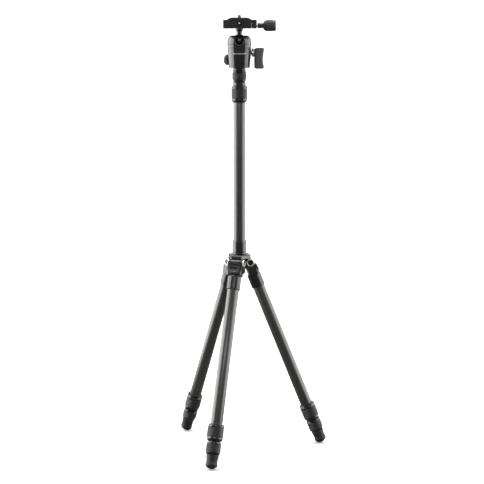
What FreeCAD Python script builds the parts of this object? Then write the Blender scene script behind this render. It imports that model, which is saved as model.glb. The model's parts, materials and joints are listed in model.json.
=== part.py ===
import FreeCAD, Part
import math
import os

# A travel tripod with a telescoping centre column, a small ball head and a quick-release clamp.
# Millimetres, +Z up. The origin is on the column's axis at floor level, and the head faces -Y.

Vec = FreeCAD.Vector
X_AXIS = Vec(1, 0, 0)
Y_AXIS = Vec(0, 1, 0)
Z_AXIS = Vec(0, 0, 1)

# ---- driving dimensions -------------------------------------------------------------------------

# fits
RUN_GAP = 0.05          # radial clearance of a shaft in its own bore
FACE_GAP = 0.3          # gap between faces of pieces that move past each other

# legs
LEG_NAMES = ["leg_front", "leg_left", "leg_right"]
LEG_AZIMUTHS = [251.3, 131.3, 11.3]
LEG_ANGLE = 22.0        # from the vertical, at the first angle stop
PIVOT_R = 18.0          # hinge bolt's distance from the column's axis
PIVOT_Z = 358.0
LEG_TUBE_R = [11.0, 9.4, 7.8]
TUBE_WALL = 1.3

# column
COLUMN_TUBE_R = [11.0, 9.3, 7.5]
COLUMN_WALL = 1.4
COLUMN_BOTTOM_Z = 340.0
COLLAR_Z = (373.5, 400.5)
LOWER_LOCK_Z = (658.0, 688.6)
UPPER_LOCK_Z = (695.1, 716.6)
PLATFORM_Z = (716.9, 721.4)

# ball head
BALL_Z = 771.0
BALL_R = 12.6
STEM_R = 5.6
HOUSING_Z = (727.3, 780.5)
HOUSING_R = 21.9
NOTCH_R = 7.75
BALL_LOCK_Z = 749.5
PAN_LOCK_Z = 735.7
PAN_LOCK_AZIMUTH = 148.0

# clamp, plate and camera stud
CLAMP_Z = (793.6, 809.4)
CLAMP_FLOOR_Z = 802.0
CLAMP_HALF_Y = 19.0
CLAMP_X = (-30.3, 33.0)
PLATE_TOP_Z = 812.7
PAD_TOP_Z = 813.3
STUD_R = 3.175          # 1/4 inch camera thread
STUD_TOP_Z = 818.0


# ---- shape helpers ------------------------------------------------------------------------------

def rod(radius, z0, z1):
    """A cylinder on the Z axis."""
    return Part.makeCylinder(radius, z1 - z0, Vec(0, 0, z0))


def ring(outer, inner, z0, z1):
    """A cylinder on the Z axis with a through bore."""
    return rod(outer, z0, z1).cut(rod(inner, z0 - 1, z1 + 1))


def block(x0, x1, y0, y1, z0, z1):
    return Part.makeBox(x1 - x0, y1 - y0, z1 - z0, Vec(x0, y0, z0))


def rounded_block(x0, x1, y0, y1, z0, z1, radius):
    """A block whose upright edges are rounded."""
    solid = block(x0, x1, y0, y1, z0, z1)
    upright = [e for e in solid.Edges if abs(e.tangentAt(e.FirstParameter).z) > 0.9]
    return solid.makeFillet(radius, upright)


def prism(points, direction, start):
    """A flat outline of (across, up) points, drawn at start and pushed along X or Y."""
    along_x = abs(direction.x) > 0
    corners = []
    for across, up in points:
        corner = Vec(0, across, up) if along_x else Vec(across, 0, up)
        corners.append(corner.add(start))
    wire = Part.makePolygon(corners + corners[:1])
    return Part.Face(wire).extrude(direction)


def turned(points):
    """A closed (radius, z) outline turned about the Z axis.

    A point may carry a third value, "via": the outline runs through it on an arc from the point
    before it to the point after it."""
    corners = [Vec(p[0], 0, p[1]) for p in points]
    edges = []
    count = len(points)
    i = 0
    while i < count:
        j = (i + 1) % count
        if len(points[j]) == 3:
            k = (i + 2) % count
            edges.append(Part.Arc(corners[i], corners[j], corners[k]).toShape())
            i += 2
        else:
            edges.append(Part.LineSegment(corners[i], corners[j]).toShape())
            i += 1
    face = Part.Face(Part.Wire(edges))
    return face.revolve(Vec(0, 0, 0), Z_AXIS, 360)


def laid_along_x(shape, z=0.0):
    """Turns a shape drawn up the Z axis so that it points along +X, at height z."""
    laid = shape.copy()
    laid.rotate(Vec(0, 0, 0), Y_AXIS, 90)
    laid.translate(Vec(0, 0, z))
    return laid


def laid_along_y(shape, z=0.0):
    """Turns a shape drawn up the Z axis so that it points along +Y, at height z."""
    laid = shape.copy()
    laid.rotate(Vec(0, 0, 0), X_AXIS, -90)
    laid.translate(Vec(0, 0, z))
    return laid


def spun(shape, azimuth):
    turned_shape = shape.copy()
    turned_shape.rotate(Vec(0, 0, 0), Z_AXIS, azimuth)
    return turned_shape


def moved(shape, x, y, z):
    shifted = shape.copy()
    shifted.translate(Vec(x, y, z))
    return shifted


def joined(shapes):
    solid = shapes[0]
    for shape in shapes[1:]:
        solid = solid.fuse(shape)
    return solid.removeSplitter()


def fluted(solid, radius, count, depth_r, z0, z1):
    """Cuts shallow round flutes along a grip."""
    cutters = []
    for i in range(count):
        groove = moved(rod(depth_r, z0, z1), radius + depth_r * 0.6, 0, 0)
        cutters.append(spun(groove, i * 360.0 / count))
    return solid.cut(Part.makeCompound(cutters))


PARTS = {}


def keep(name, shapes):
    """Stores a node: one solid, or a list of separate identical solids."""
    PARTS[name] = shapes if isinstance(shapes, list) else [shapes]


# ---- crown --------------------------------------------------------------------------------------

CROWN_PLATE_Z = (366.6, 373.2)
CROWN_PLATE_R = 22.5       # to a corner of the six-sided plate
CROWN_CORNER = 27.0        # a corner's angle from the leg beside it
HUB_R = 13.5
HUB_BOTTOM_Z = 346.0
BUSH_R = 12.2
LUG_HALF = 8.0             # half the width of the lug between a yoke's ears
LUG_R = 8.0
EAR_OUT = 13.5             # outer face of a yoke's ear, from the leg's middle plane
EAR_R = 8.0
BOLT_R = 3.0
CAP_R = 7.8
CAP_OUT = 15.8
CAP_WELL_R = 5.0
CAP_FLOOR = 1.0
CAP_SOCKET_R = 2.4


def hinge_cylinder(radius, y0, y1):
    """A cylinder on a hinge's axis, for a leg that points along +X."""
    return moved(laid_along_y(rod(radius, y0, y1)), PIVOT_R, 0, PIVOT_Z)


def crown():
    corners = []
    for azimuth in LEG_AZIMUTHS:
        for side in (-1, 1):
            corners.append(math.radians((azimuth + side * CROWN_CORNER) % 360))
    outline = [
        Vec(CROWN_PLATE_R * math.cos(a), CROWN_PLATE_R * math.sin(a), CROWN_PLATE_Z[0])
        for a in sorted(corners)
    ]
    wire = Part.makePolygon(outline + outline[:1])
    plate = Part.Face(wire).extrude(Vec(0, 0, CROWN_PLATE_Z[1] - CROWN_PLATE_Z[0]))
    plate = plate.makeFillet(2.0, [e for e in plate.Edges if abs(e.tangentAt(0).z) > 0.9])
    top = [e for e in plate.Edges if e.BoundBox.ZMin > CROWN_PLATE_Z[1] - 0.01]
    plate = plate.makeChamfer(1.2, top)
    pieces = [plate, rod(HUB_R, HUB_BOTTOM_Z, CROWN_PLATE_Z[0] + 1)]
    slots = []
    for azimuth in LEG_AZIMUTHS:
        web = block(0, PIVOT_R, -LUG_HALF, LUG_HALF, PIVOT_Z - LUG_R, CROWN_PLATE_Z[0] + 1)
        lug = joined([web, hinge_cylinder(LUG_R, -LUG_HALF, LUG_HALF)])
        pieces.append(spun(lug, azimuth))
        for y0, y1 in ((-EAR_OUT - 1, -LUG_HALF), (LUG_HALF, EAR_OUT + 1)):
            slots.append(spun(hinge_cylinder(EAR_R + 0.5, y0, y1), azimuth))
        slots.append(spun(hinge_cylinder(BOLT_R, -EAR_OUT, EAR_OUT), azimuth))
    body = joined(pieces)
    for slot in slots:
        body = body.cut(slot)
    body = body.cut(rod(BUSH_R, HUB_BOTTOM_Z - 1, CROWN_PLATE_Z[0]))
    return body.cut(rod(COLUMN_TUBE_R[0] + FACE_GAP, HUB_BOTTOM_Z, CROWN_PLATE_Z[1] + 1))


def column_bush():
    return ring(BUSH_R, COLUMN_TUBE_R[0] + RUN_GAP, HUB_BOTTOM_Z, CROWN_PLATE_Z[0])


def hinge_bolt():
    return hinge_cylinder(BOLT_R, -EAR_OUT, EAR_OUT)


def hinge_cap(side):
    """A ring-shaped bolt head outside one ear: a round well with a hexagon socket in its floor."""
    thick = CAP_OUT - EAR_OUT
    dome = turned([
        (0, 0), (CAP_R, 0.2), (CAP_R, thick - 1.0), (CAP_R - 0.9, thick), (CAP_WELL_R, thick),
        (CAP_WELL_R, CAP_FLOOR), (0, CAP_FLOOR),
    ])
    corners = []
    for i in range(6):
        angle = math.radians(60 * i)
        corners.append(Vec(CAP_SOCKET_R * math.cos(angle), CAP_SOCKET_R * math.sin(angle), 0.3))
    socket = Part.Face(Part.makePolygon(corners + corners[:1])).extrude(Vec(0, 0, thick))
    cap = dome.cut(socket)
    cap.rotate(Vec(0, 0, 0), X_AXIS, -90 * side)
    return moved(cap, PIVOT_R, side * EAR_OUT, PIVOT_Z)


keep("crown", crown())
keep("column_bush", column_bush())
keep("leg_hinge_bolts", [spun(hinge_bolt(), a) for a in LEG_AZIMUTHS])
keep("hinge_caps", [spun(hinge_cap(side), a) for a in LEG_AZIMUTHS for side in (-1, 1)])


# ---- legs ---------------------------------------------------------------------------------------
# A leg is drawn hanging straight down from its hinge at the origin, its outer side facing +X, so a
# distance s along the leg is at z = -s. place_leg then swings it out and turns it to its azimuth.

YOKE_TOP_S = 12.0
YOKE_X = (-9.0, 8.0)
SOCKET_S = (26.0, 50.4)
SOCKET_R = 12.75
LATCH_S = (6.4, 21.4)
LATCH_X = (8.4, 11.2)
LATCH_HALF = 10.7
TONGUE_S = (15.0, 19.0)
TONGUE_HALF = 5.0
LOCK_FLUTES = 24
LEG_LOCK_1_S = (302.4, 334.4)
LEG_LOCK_1_R = 15.25
LEG_LOCK_2_S = (335.4, 358.6)
LEG_LOCK_2_R = 13.85
TUBE_1_S = (27.0, 320.0)
TUBE_2_S = (62.0, 346.0)
TUBE_3_S = (84.0, 368.0)
FOOT_TOP_S = 359.0
FOOT_R = (11.5, 10.7, 11.0)    # top, waist, tread
FOOT_CORNER_R = 6.0


def place_leg(shape, azimuth):
    leg = shape.copy()
    leg.rotate(Vec(0, 0, 0), Y_AXIS, -LEG_ANGLE)
    leg.translate(Vec(PIVOT_R, 0, PIVOT_Z))
    return spun(leg, azimuth)


def yoke():
    ears = []
    for side in (-1, 1):
        y0, y1 = sorted((side * (LUG_HALF + FACE_GAP), side * EAR_OUT))
        ears.append(laid_along_y(rod(EAR_R, y0, y1)))
        ears.append(block(-EAR_R, EAR_R, y0, y1, -YOKE_TOP_S - 2, 0))
    shoulder = rounded_block(YOKE_X[0], YOKE_X[1], -EAR_OUT, EAR_OUT, -24.0, -YOKE_TOP_S, 2.5)
    socket = turned([
        (0, -SOCKET_S[1]), (SOCKET_R - 0.8, -SOCKET_S[1]), (SOCKET_R, -SOCKET_S[1] + 0.8),
        (SOCKET_R, -SOCKET_S[0]), (SOCKET_R - 3.5, -SOCKET_S[0] + 4.5), (0, -SOCKET_S[0] + 4.5),
    ])
    body = joined(ears + [shoulder, socket])
    body = body.cut(laid_along_y(rod(LUG_R + 0.9, -LUG_HALF - FACE_GAP, LUG_HALF + FACE_GAP)))
    body = body.cut(laid_along_y(rod(BOLT_R + RUN_GAP, -EAR_OUT - 1, EAR_OUT + 1)))
    pocket = block(-2.0, YOKE_X[1] + 6, -TONGUE_HALF - FACE_GAP, TONGUE_HALF + FACE_GAP,
                   -TONGUE_S[1] - FACE_GAP, -TONGUE_S[0] + FACE_GAP)
    body = body.cut(pocket)
    return body.cut(rod(LEG_TUBE_R[0], -SOCKET_S[1] - 1, -TUBE_1_S[0]))


def latch():
    """The angle latch: a pull tab with a finger lip, and a tongue that slides in the yoke."""
    tab = block(LATCH_X[0], LATCH_X[1], -LATCH_HALF, LATCH_HALF, -LATCH_S[1], -LATCH_S[0])
    across = [e for e in tab.Edges if abs(e.tangentAt(e.FirstParameter).x) > 0.9]
    tab = tab.makeFillet(3.2, across)
    recess = block(LATCH_X[1] - 1.2, LATCH_X[1] + 1, -8.2, 8.2, -13.6, -8.6)
    lip = block(LATCH_X[1] - 0.5, LATCH_X[1] + 1.3, -8.2, 8.2, -18.2, -14.2)
    lip = lip.makeChamfer(0.8, [e for e in lip.Edges if e.BoundBox.XMin > LATCH_X[1] + 1.2])
    tongue = block(-1.0, LATCH_X[0] + 0.5, -TONGUE_HALF, TONGUE_HALF, -TONGUE_S[1], -TONGUE_S[0])
    return joined([tab.cut(recess), lip, tongue])


def leg_tube(index, s_range):
    return ring(LEG_TUBE_R[index], LEG_TUBE_R[index] - TUBE_WALL, -s_range[1], -s_range[0])


def twist_lock(radius, z0, z1, upper_r, lower_r, step_z, taper):
    """A twist-lock nut: a bevelled collar, a fluted grip and a tapered end, bored in two steps."""
    body = turned([
        (0, z0), (radius - taper, z0), (radius, z0 + 4.5), (radius, z1 - 4.0),
        (radius - 0.9, z1 - 3.4), (radius - 0.3, z1 - 2.4), (radius - 0.3, z1 - 0.8),
        (radius - 1.1, z1), (0, z1),
    ])
    body = fluted(body, radius, LOCK_FLUTES, 1.0, z0 + 6.0, z1 - 4.0)
    body = body.cut(rod(upper_r + FACE_GAP, step_z, z1 + 1))
    return body.cut(rod(lower_r + FACE_GAP, z0 - 1, step_z))


def foot():
    """A rubber foot: a waisted sleeve with a blunt, round-cornered tread.

    The corner's arc touches the floor when the leg stands at its first angle stop."""
    top_r, waist_r, tread_r = FOOT_R
    lean = math.radians(LEG_ANGLE)
    arc_r = tread_r - FOOT_CORNER_R
    arc_z = -(PIVOT_Z - arc_r * math.sin(lean) - FOOT_CORNER_R) / math.cos(lean)
    eased = FOOT_CORNER_R * math.sqrt(0.5)
    body = turned([
        (0, -FOOT_TOP_S), (top_r - 0.6, -FOOT_TOP_S), (top_r, -FOOT_TOP_S - 0.6),
        (waist_r, -FOOT_TOP_S - 9.0), (waist_r, arc_z + 4.0), (tread_r, arc_z + 2.0),
        (tread_r, arc_z), (arc_r + eased, arc_z - eased, "via"), (arc_r, arc_z - FOOT_CORNER_R),
        (0, arc_z - FOOT_CORNER_R - 0.4),
    ])
    return body.cut(rod(LEG_TUBE_R[2], -TUBE_3_S[1], -FOOT_TOP_S + 1))


def make_leg(name, azimuth):
    lock_1 = twist_lock(LEG_LOCK_1_R, -LEG_LOCK_1_S[1], -LEG_LOCK_1_S[0],
                        LEG_TUBE_R[0], LEG_TUBE_R[1], -TUBE_1_S[1] - 1, 3.6)
    lock_2 = twist_lock(LEG_LOCK_2_R, -LEG_LOCK_2_S[1], -LEG_LOCK_2_S[0],
                        LEG_TUBE_R[1], LEG_TUBE_R[2], -TUBE_2_S[1] - 1, 2.2)
    pieces = {
        "yoke": yoke(), "latch": latch(), "foot": foot(),
        "tube_upper": leg_tube(0, TUBE_1_S), "lock_upper": lock_1,
        "tube_middle": leg_tube(1, TUBE_2_S), "lock_lower": lock_2,
        "tube_lower": leg_tube(2, TUBE_3_S),
    }
    for piece, shape in pieces.items():
        keep(name + "_" + piece, place_leg(shape, azimuth))


for leg_name, leg_azimuth in zip(LEG_NAMES, LEG_AZIMUTHS):
    make_leg(leg_name, leg_azimuth)


# ---- centre column ------------------------------------------------------------------------------

COLLAR_R = 13.15
PLUG_TOP_Z = 350.0
FERRULE_Z = (688.9, 694.8)
FERRULE_R = 11.85
PLATFORM_R = 11.5
COLUMN_LOCK_R = (15.0, 13.35)
MIDDLE_TUBE_Z = (368.0, 706.0)
UPPER_TUBE_Z = (392.0, 719.0)
LOWER_TUBE_TOP_Z = 674.0
SHIM_Z = (372.0, 392.0)
HEAD_STUD_R = 4.76          # 3/8 inch thread between column and head
HEAD_STUD_TOP_Z = 729.0


def column_collar():
    z0, z1 = COLLAR_Z
    body = turned([
        (0, z0), (COLLAR_R - 0.4, z0), (COLLAR_R, z0 + 0.5), (COLLAR_R, z0 + 3.6),
        (COLLAR_R - 0.7, z0 + 4.2), (COLLAR_R - 0.15, z0 + 4.8), (COLLAR_R - 0.15, z1 - 2.5),
        (COLLAR_R - 2.0, z1), (0, z1),
    ])
    return body.cut(rod(COLUMN_TUBE_R[0] + FACE_GAP, z0 - 1, z1 + 1))


def column_tube(index, z_range):
    return ring(COLUMN_TUBE_R[index], COLUMN_TUBE_R[index] - COLUMN_WALL, z_range[0], z_range[1])


def end_plug():
    """A cap pressed into the bottom of the lower tube."""
    inner_r = COLUMN_TUBE_R[0] - COLUMN_WALL
    return turned([
        (0, COLUMN_BOTTOM_Z - 4.0), (COLUMN_TUBE_R[0] - 1.5, COLUMN_BOTTOM_Z - 4.0),
        (COLUMN_TUBE_R[0] - 0.3, COLUMN_BOTTOM_Z - 2.8), (COLUMN_TUBE_R[0] - 0.3, COLUMN_BOTTOM_Z),
        (inner_r, COLUMN_BOTTOM_Z), (inner_r, PLUG_TOP_Z), (0, PLUG_TOP_Z),
    ])


def ferrule():
    """The ring on the middle tube that stops it against the lower lock."""
    z0, z1 = FERRULE_Z
    body = turned([
        (0, z0), (FERRULE_R - 0.6, z0), (FERRULE_R, z0 + 0.6), (FERRULE_R, z1 - 0.6),
        (FERRULE_R - 0.6, z1), (0, z1),
    ])
    return body.cut(rod(COLUMN_TUBE_R[1], z0 - 1, z1 + 1))


def middle_shims():
    """Two half shims clipped round the middle tube's lower end."""
    outer = COLUMN_TUBE_R[0] - COLUMN_WALL - RUN_GAP
    sleeve = ring(outer, COLUMN_TUBE_R[1], SHIM_Z[0], SHIM_Z[1])
    halves = []
    for side in (0, 180):
        gap = spun(block(-20, 20, -20, 0.5, SHIM_Z[0] - 1, SHIM_Z[1] + 1), side)
        halves.append(sleeve.cut(gap))
    return halves


def head_platform():
    z0, z1 = PLATFORM_Z
    body = turned([
        (0, z0), (PLATFORM_R - 0.9, z0), (PLATFORM_R, z0 + 0.9), (PLATFORM_R, z1 - 0.9),
        (PLATFORM_R - 0.6, z1), (0, z1),
    ])
    body = body.cut(rod(COLUMN_TUBE_R[2], z0 - 1, UPPER_TUBE_Z[1]))
    return body.cut(rod(HEAD_STUD_R, UPPER_TUBE_Z[1] - 1, z1 + 1))


keep("column_collar", column_collar())
keep("column_tube_lower", column_tube(0, (COLUMN_BOTTOM_Z, LOWER_TUBE_TOP_Z)))
keep("column_end_plug", end_plug())
keep("column_lock_lower", twist_lock(COLUMN_LOCK_R[0], LOWER_LOCK_Z[0], LOWER_LOCK_Z[1], COLUMN_TUBE_R[1],
                                     COLUMN_TUBE_R[0], LOWER_TUBE_TOP_Z + 1, 1.6))
keep("column_tube_middle", column_tube(1, MIDDLE_TUBE_Z))
keep("column_ferrule", ferrule())
keep("column_middle_shims", middle_shims())
keep("column_lock_upper", twist_lock(COLUMN_LOCK_R[1], UPPER_LOCK_Z[0], UPPER_LOCK_Z[1], COLUMN_TUBE_R[2],
                                     COLUMN_TUBE_R[1], MIDDLE_TUBE_Z[1] + 1, 1.6))
keep("column_tube_upper", column_tube(2, UPPER_TUBE_Z))
keep("head_platform", head_platform())
keep("head_stud", rod(HEAD_STUD_R, UPPER_TUBE_Z[1], HEAD_STUD_TOP_Z))


# ---- ball head ----------------------------------------------------------------------------------

SPINDLE_R = 8.0
SPINDLE_TOP_Z = 740.0
CAVITY_R = BALL_R + FACE_GAP
CAVITY_FLOOR_Z = 744.5
CUP_Z = (754.5, 763.0)
LIP_Z = 4.8                  # above the ball's centre
MOUTH_R = 14.4
DOME_TOP_R = 16.7
FOOT_DISC_R = 19.8
BELLY_Z = 747.0              # where the housing stops widening
GROOVE_Z = (758.0, 765.1)
DOME_Z = 768.0
SHAFT_R = 4.0
SHAFT_X = (12.0, 27.3)
COLLAR_X = (22.4, 27.3)
PADDLE_X = (27.3, 46.5)
PADDLE_BOSS_R = 9.0
PADDLE_TIP_R = 6.6
PADDLE_REACH = 23.5          # from the lock's axis down to the tip's centre
WAIST_R = 46.0
WAIST_DEPTH = 3.0
WAIST_DROP = 17.0            # the waist's place below the lock's axis
PAN_KNOB_R = 9.8
PAN_KNOB_OUT = (21.9, 29.2)
PAN_SCREW_R = 2.5
PAN_SCREW_IN = 11.0


def pan_base():
    """The head's fixed foot: a disc on the platform and the spindle that the housing turns on."""
    z0 = PLATFORM_Z[1]
    z1 = HOUSING_Z[0] - FACE_GAP
    body = turned([
        (0, z0), (FOOT_DISC_R - 0.9, z0), (FOOT_DISC_R - 0.4, z0 + 0.5), (FOOT_DISC_R, z1), (SPINDLE_R, z1),
        (SPINDLE_R, SPINDLE_TOP_Z), (0, SPINDLE_TOP_Z),
    ])
    return body.cut(rod(HEAD_STUD_R, z0 - 1, HEAD_STUD_TOP_Z))


def lock_bore(radius, x0, x1):
    return laid_along_x(rod(radius, x0, x1), BALL_LOCK_Z)


def pan_bore(radius, out0, out1):
    return spun(laid_along_x(rod(radius, out0, out1), PAN_LOCK_Z), PAN_LOCK_AZIMUTH)


def ball_housing():
    z0, z1 = HOUSING_Z
    lip_r = math.sqrt(CAVITY_R ** 2 - LIP_Z ** 2)
    arc_mid = math.radians(10.0)
    shell = turned([
        (0, z0), (FOOT_DISC_R, z0), (HOUSING_R - 0.3, BELLY_Z),
        (HOUSING_R - 0.15, GROOVE_Z[0] - 0.4), (HOUSING_R - 0.6, GROOVE_Z[0]),
        (HOUSING_R - 0.15, GROOVE_Z[0] + 0.4), (HOUSING_R, GROOVE_Z[1] - 0.5),
        (HOUSING_R - 0.5, GROOVE_Z[1]), (HOUSING_R, GROOVE_Z[1] + 0.5), (HOUSING_R, DOME_Z),
        (HOUSING_R - 1.6, DOME_Z + 7.6, "via"), (DOME_TOP_R, z1), (0, z1),
    ])
    cavity = turned([
        (0, CAVITY_FLOOR_Z), (CAVITY_R, CAVITY_FLOOR_Z), (CAVITY_R, BALL_Z),
        (CAVITY_R * math.cos(arc_mid), BALL_Z + CAVITY_R * math.sin(arc_mid), "via"),
        (lip_r, BALL_Z + LIP_Z), (MOUTH_R, z1), (MOUTH_R, z1 + 1), (0, z1 + 1),
    ])
    spindle = rod(SPINDLE_R + RUN_GAP, z0 - 1, SPINDLE_TOP_Z + FACE_GAP)
    notch = moved(laid_along_y(rod(NOTCH_R, -40, 0)), 0, 0, BALL_Z)
    slot = block(-NOTCH_R, NOTCH_R, -40, 0, BALL_Z, z1 + 1)
    body = shell.cut(cavity).cut(spindle).cut(notch).cut(slot)
    body = body.cut(lock_bore(SHAFT_R + RUN_GAP, 5, 40))
    body = body.cut(pan_bore(PAN_SCREW_R + RUN_GAP, 5, 40))
    return body.cut(accent_cutter())


STRIP_HALF = 11.2
STRIP_R = (21.2, 21.9)
STRIP_Z = (747.0, 748.8)


def accent_cutter():
    """The shallow curved bed of the front accent strip."""
    bed = ring(30, STRIP_R[0], STRIP_Z[0], STRIP_Z[1])
    return bed.common(block(-STRIP_HALF, STRIP_HALF, -40, 0, STRIP_Z[0], STRIP_Z[1]))


def accent_strip():
    strip = ring(STRIP_R[1], STRIP_R[0], STRIP_Z[0], STRIP_Z[1])
    return strip.common(block(-STRIP_HALF, STRIP_HALF, -40, 0, STRIP_Z[0], STRIP_Z[1]))


def ball_cup():
    """The pressure cup under the ball, pushed up by the lock shaft's wedge."""
    cup = rod(CAVITY_R - RUN_GAP, CUP_Z[0], CUP_Z[1])
    return cup.cut(moved(Part.makeSphere(CAVITY_R), 0, 0, BALL_Z))


def ball_wedge():
    """The wedge block that the lock shaft draws under the cup."""
    return rounded_block(-7.5, SHAFT_X[0] - 1.0, -4.5, 4.5, CAVITY_FLOOR_Z + 0.5, CUP_Z[0] - 0.5, 1.5)


def ball_lock_shaft():
    shaft = lock_bore(SHAFT_R, SHAFT_X[0], SHAFT_X[1])
    collar = turned([
        (0, COLLAR_X[0]), (7.2, COLLAR_X[0]), (8.0, COLLAR_X[0] + 0.8), (8.0, COLLAR_X[1] - 0.8),
        (7.2, COLLAR_X[1]), (0, COLLAR_X[1]),
    ])
    return joined([shaft, laid_along_x(collar, BALL_LOCK_Z)])


def ball_lock_knob():
    """A paddle: a round boss that narrows downward, waisted on its outer face."""
    x0, x1 = PADDLE_X
    tip_z = BALL_LOCK_Z - PADDLE_REACH
    boss = lock_bore(PADDLE_BOSS_R, x0, x1)
    tip = moved(laid_along_x(rod(PADDLE_TIP_R, x0, x1)), 0, 0, tip_z)
    sides = prism(
        [(-PADDLE_BOSS_R, BALL_LOCK_Z), (PADDLE_BOSS_R, BALL_LOCK_Z),
         (PADDLE_TIP_R, tip_z), (-PADDLE_TIP_R, tip_z)],
        Vec(x1 - x0, 0, 0), Vec(x0, 0, 0))
    paddle = joined([boss, sides, tip])
    waist = laid_along_y(rod(WAIST_R, -20, 20), 0)
    paddle = paddle.cut(moved(waist, x1 + WAIST_R - WAIST_DEPTH, 0, BALL_LOCK_Z - WAIST_DROP))
    outer = [e for e in paddle.Edges if e.BoundBox.XMin > x1 - WAIST_DEPTH - 0.5]
    return paddle.makeFillet(1.6, outer)


def pan_lock_knob():
    grip = turned([
        (0, PAN_KNOB_OUT[0]), (PAN_KNOB_R - 1.2, PAN_KNOB_OUT[0]),
        (PAN_KNOB_R, PAN_KNOB_OUT[0] + 1.2), (PAN_KNOB_R, PAN_KNOB_OUT[1] - 1.2),
        (PAN_KNOB_R - 1.2, PAN_KNOB_OUT[1]), (0, PAN_KNOB_OUT[1]),
    ])
    grip = fluted(grip, PAN_KNOB_R, 20, 0.9, PAN_KNOB_OUT[0], PAN_KNOB_OUT[1])
    grip = grip.cut(rod(PAN_SCREW_R, PAN_KNOB_OUT[0] - 1, PAN_KNOB_OUT[0] + 5))
    return spun(laid_along_x(grip, PAN_LOCK_Z), PAN_LOCK_AZIMUTH)


STEM_TOP = 17.5              # above the ball's centre
BOSS_R = 7.2
BOSS_TOP = 22.3              # above the ball's centre
CLAMP_BOLT_R = 3.0
BOLT_START = 8.0             # the bolt's lower end, above the ball's centre
BOLT_HEAD_R = 5.0
BOLT_HEAD_Z = (CLAMP_FLOOR_Z - 3.4, CLAMP_FLOOR_Z - 0.4)


def ball():
    sphere = moved(Part.makeSphere(BALL_R), 0, 0, BALL_Z)
    stem = turned([
        (0, BALL_Z), (STEM_R, BALL_Z), (STEM_R, BALL_Z + STEM_TOP), (BOSS_R, BALL_Z + STEM_TOP + 2.5),
        (BOSS_R, BALL_Z + BOSS_TOP), (0, BALL_Z + BOSS_TOP),
    ])
    body = joined([sphere, stem])
    return body.cut(rod(CLAMP_BOLT_R, BALL_Z + BOLT_START, BALL_Z + BOSS_TOP + 1))


def clamp_bolt():
    shank = rod(CLAMP_BOLT_R, BALL_Z + BOLT_START, BOLT_HEAD_Z[1] - 1)
    head = rod(BOLT_HEAD_R, BOLT_HEAD_Z[0], BOLT_HEAD_Z[1])
    return joined([shank, head])


keep("pan_base", pan_base())
keep("ball_housing", ball_housing())
keep("accent_strip", accent_strip())
keep("ball_cup", ball_cup())
keep("ball_wedge", ball_wedge())
keep("ball_lock_shaft", ball_lock_shaft())
keep("ball_lock_knob", ball_lock_knob())
keep("pan_lock_knob", pan_lock_knob())
keep("pan_lock_screw", pan_bore(PAN_SCREW_R, PAN_SCREW_IN, PAN_KNOB_OUT[0] + 5))
keep("ball", ball())
keep("clamp_bolt", clamp_bolt())


# ---- quick-release clamp, plate and camera stud -------------------------------------------------

JAW_SPLIT_X = 22.2           # where the movable jaw meets the clamp's base
JAW_GAP = 0.6
CLAMP_CORNER_R = 3.0
RAIL_TOP_Z = 807.0           # top of the dovetail's slope
RAIL_RISE = 3.7              # the slope's height
PLATE_BASE_HALF = 22.3
PLATE_NECK_HALF = 18.6
PLATE_FLANGE_HALF = 21.8
PLATE_TOP_HALF = 17.4
PLATE_HALF_Y = 18.5
DOVETAIL_GAP = 0.25
GUIDE_Y = 11.0
GUIDE_PIN_Z = 798.7          # the guide pins and the screw lie in one level
GUIDE_R = 1.5
SCREW_R = 2.4
SCREW_START_X = 10.0
SCREW_BORE_X = 7.0
GUIDE_X = (8.0, 29.5)
GUIDE_BORE_END_X = 31.0
KNOB_R = 10.35
KNOB_NECK_R = 5.3
KNOB_X = (33.4, 67.8)
KNOB_NECK_END_X = 43.6
KNOB_GRIP_X = 49.5           # where the full grip begins
KNOB_FLUTES = 24
SCREW_IN_KNOB = 10.0
LEVEL_Z = 802.3
LEVEL_R = 6.3
LEVEL_WINDOW_R = 4.0
LEVEL_Y = (-22.6, -19.0)
SCREW_HEAD_R = 7.0
SCREW_HEAD_Z = (803.2, 806.2)
SCREW_NECK_R = 2.6           # under the thread, so that the screw stays captive in the plate
STUD_BASE_Z = 813.0


def jaw_outline(side, outer_x):
    """A jaw's section: a block with an undercut that hooks over the plate's dovetail."""
    g = DOVETAIL_GAP
    base_x = PLATE_BASE_HALF + g
    neck_x = PLATE_NECK_HALF + g
    points = [
        (outer_x, CLAMP_Z[0] + 1.0), (outer_x, CLAMP_Z[1] - 0.8), (outer_x - 0.8, CLAMP_Z[1]),
        (neck_x, CLAMP_Z[1]), (neck_x, RAIL_TOP_Z), (base_x, RAIL_TOP_Z - RAIL_RISE),
        (base_x, CLAMP_FLOOR_Z),
    ]
    return [(side * x, z) for x, z in points]


def end_edges(solid, x):
    """The upright corners of a clamp piece's outer end."""
    found = []
    for edge in solid.Edges:
        upright = abs(edge.tangentAt(edge.FirstParameter).z) > 0.9
        if upright and abs(edge.CenterOfMass.x - x) < 0.1:
            found.append(edge)
    return found


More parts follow.
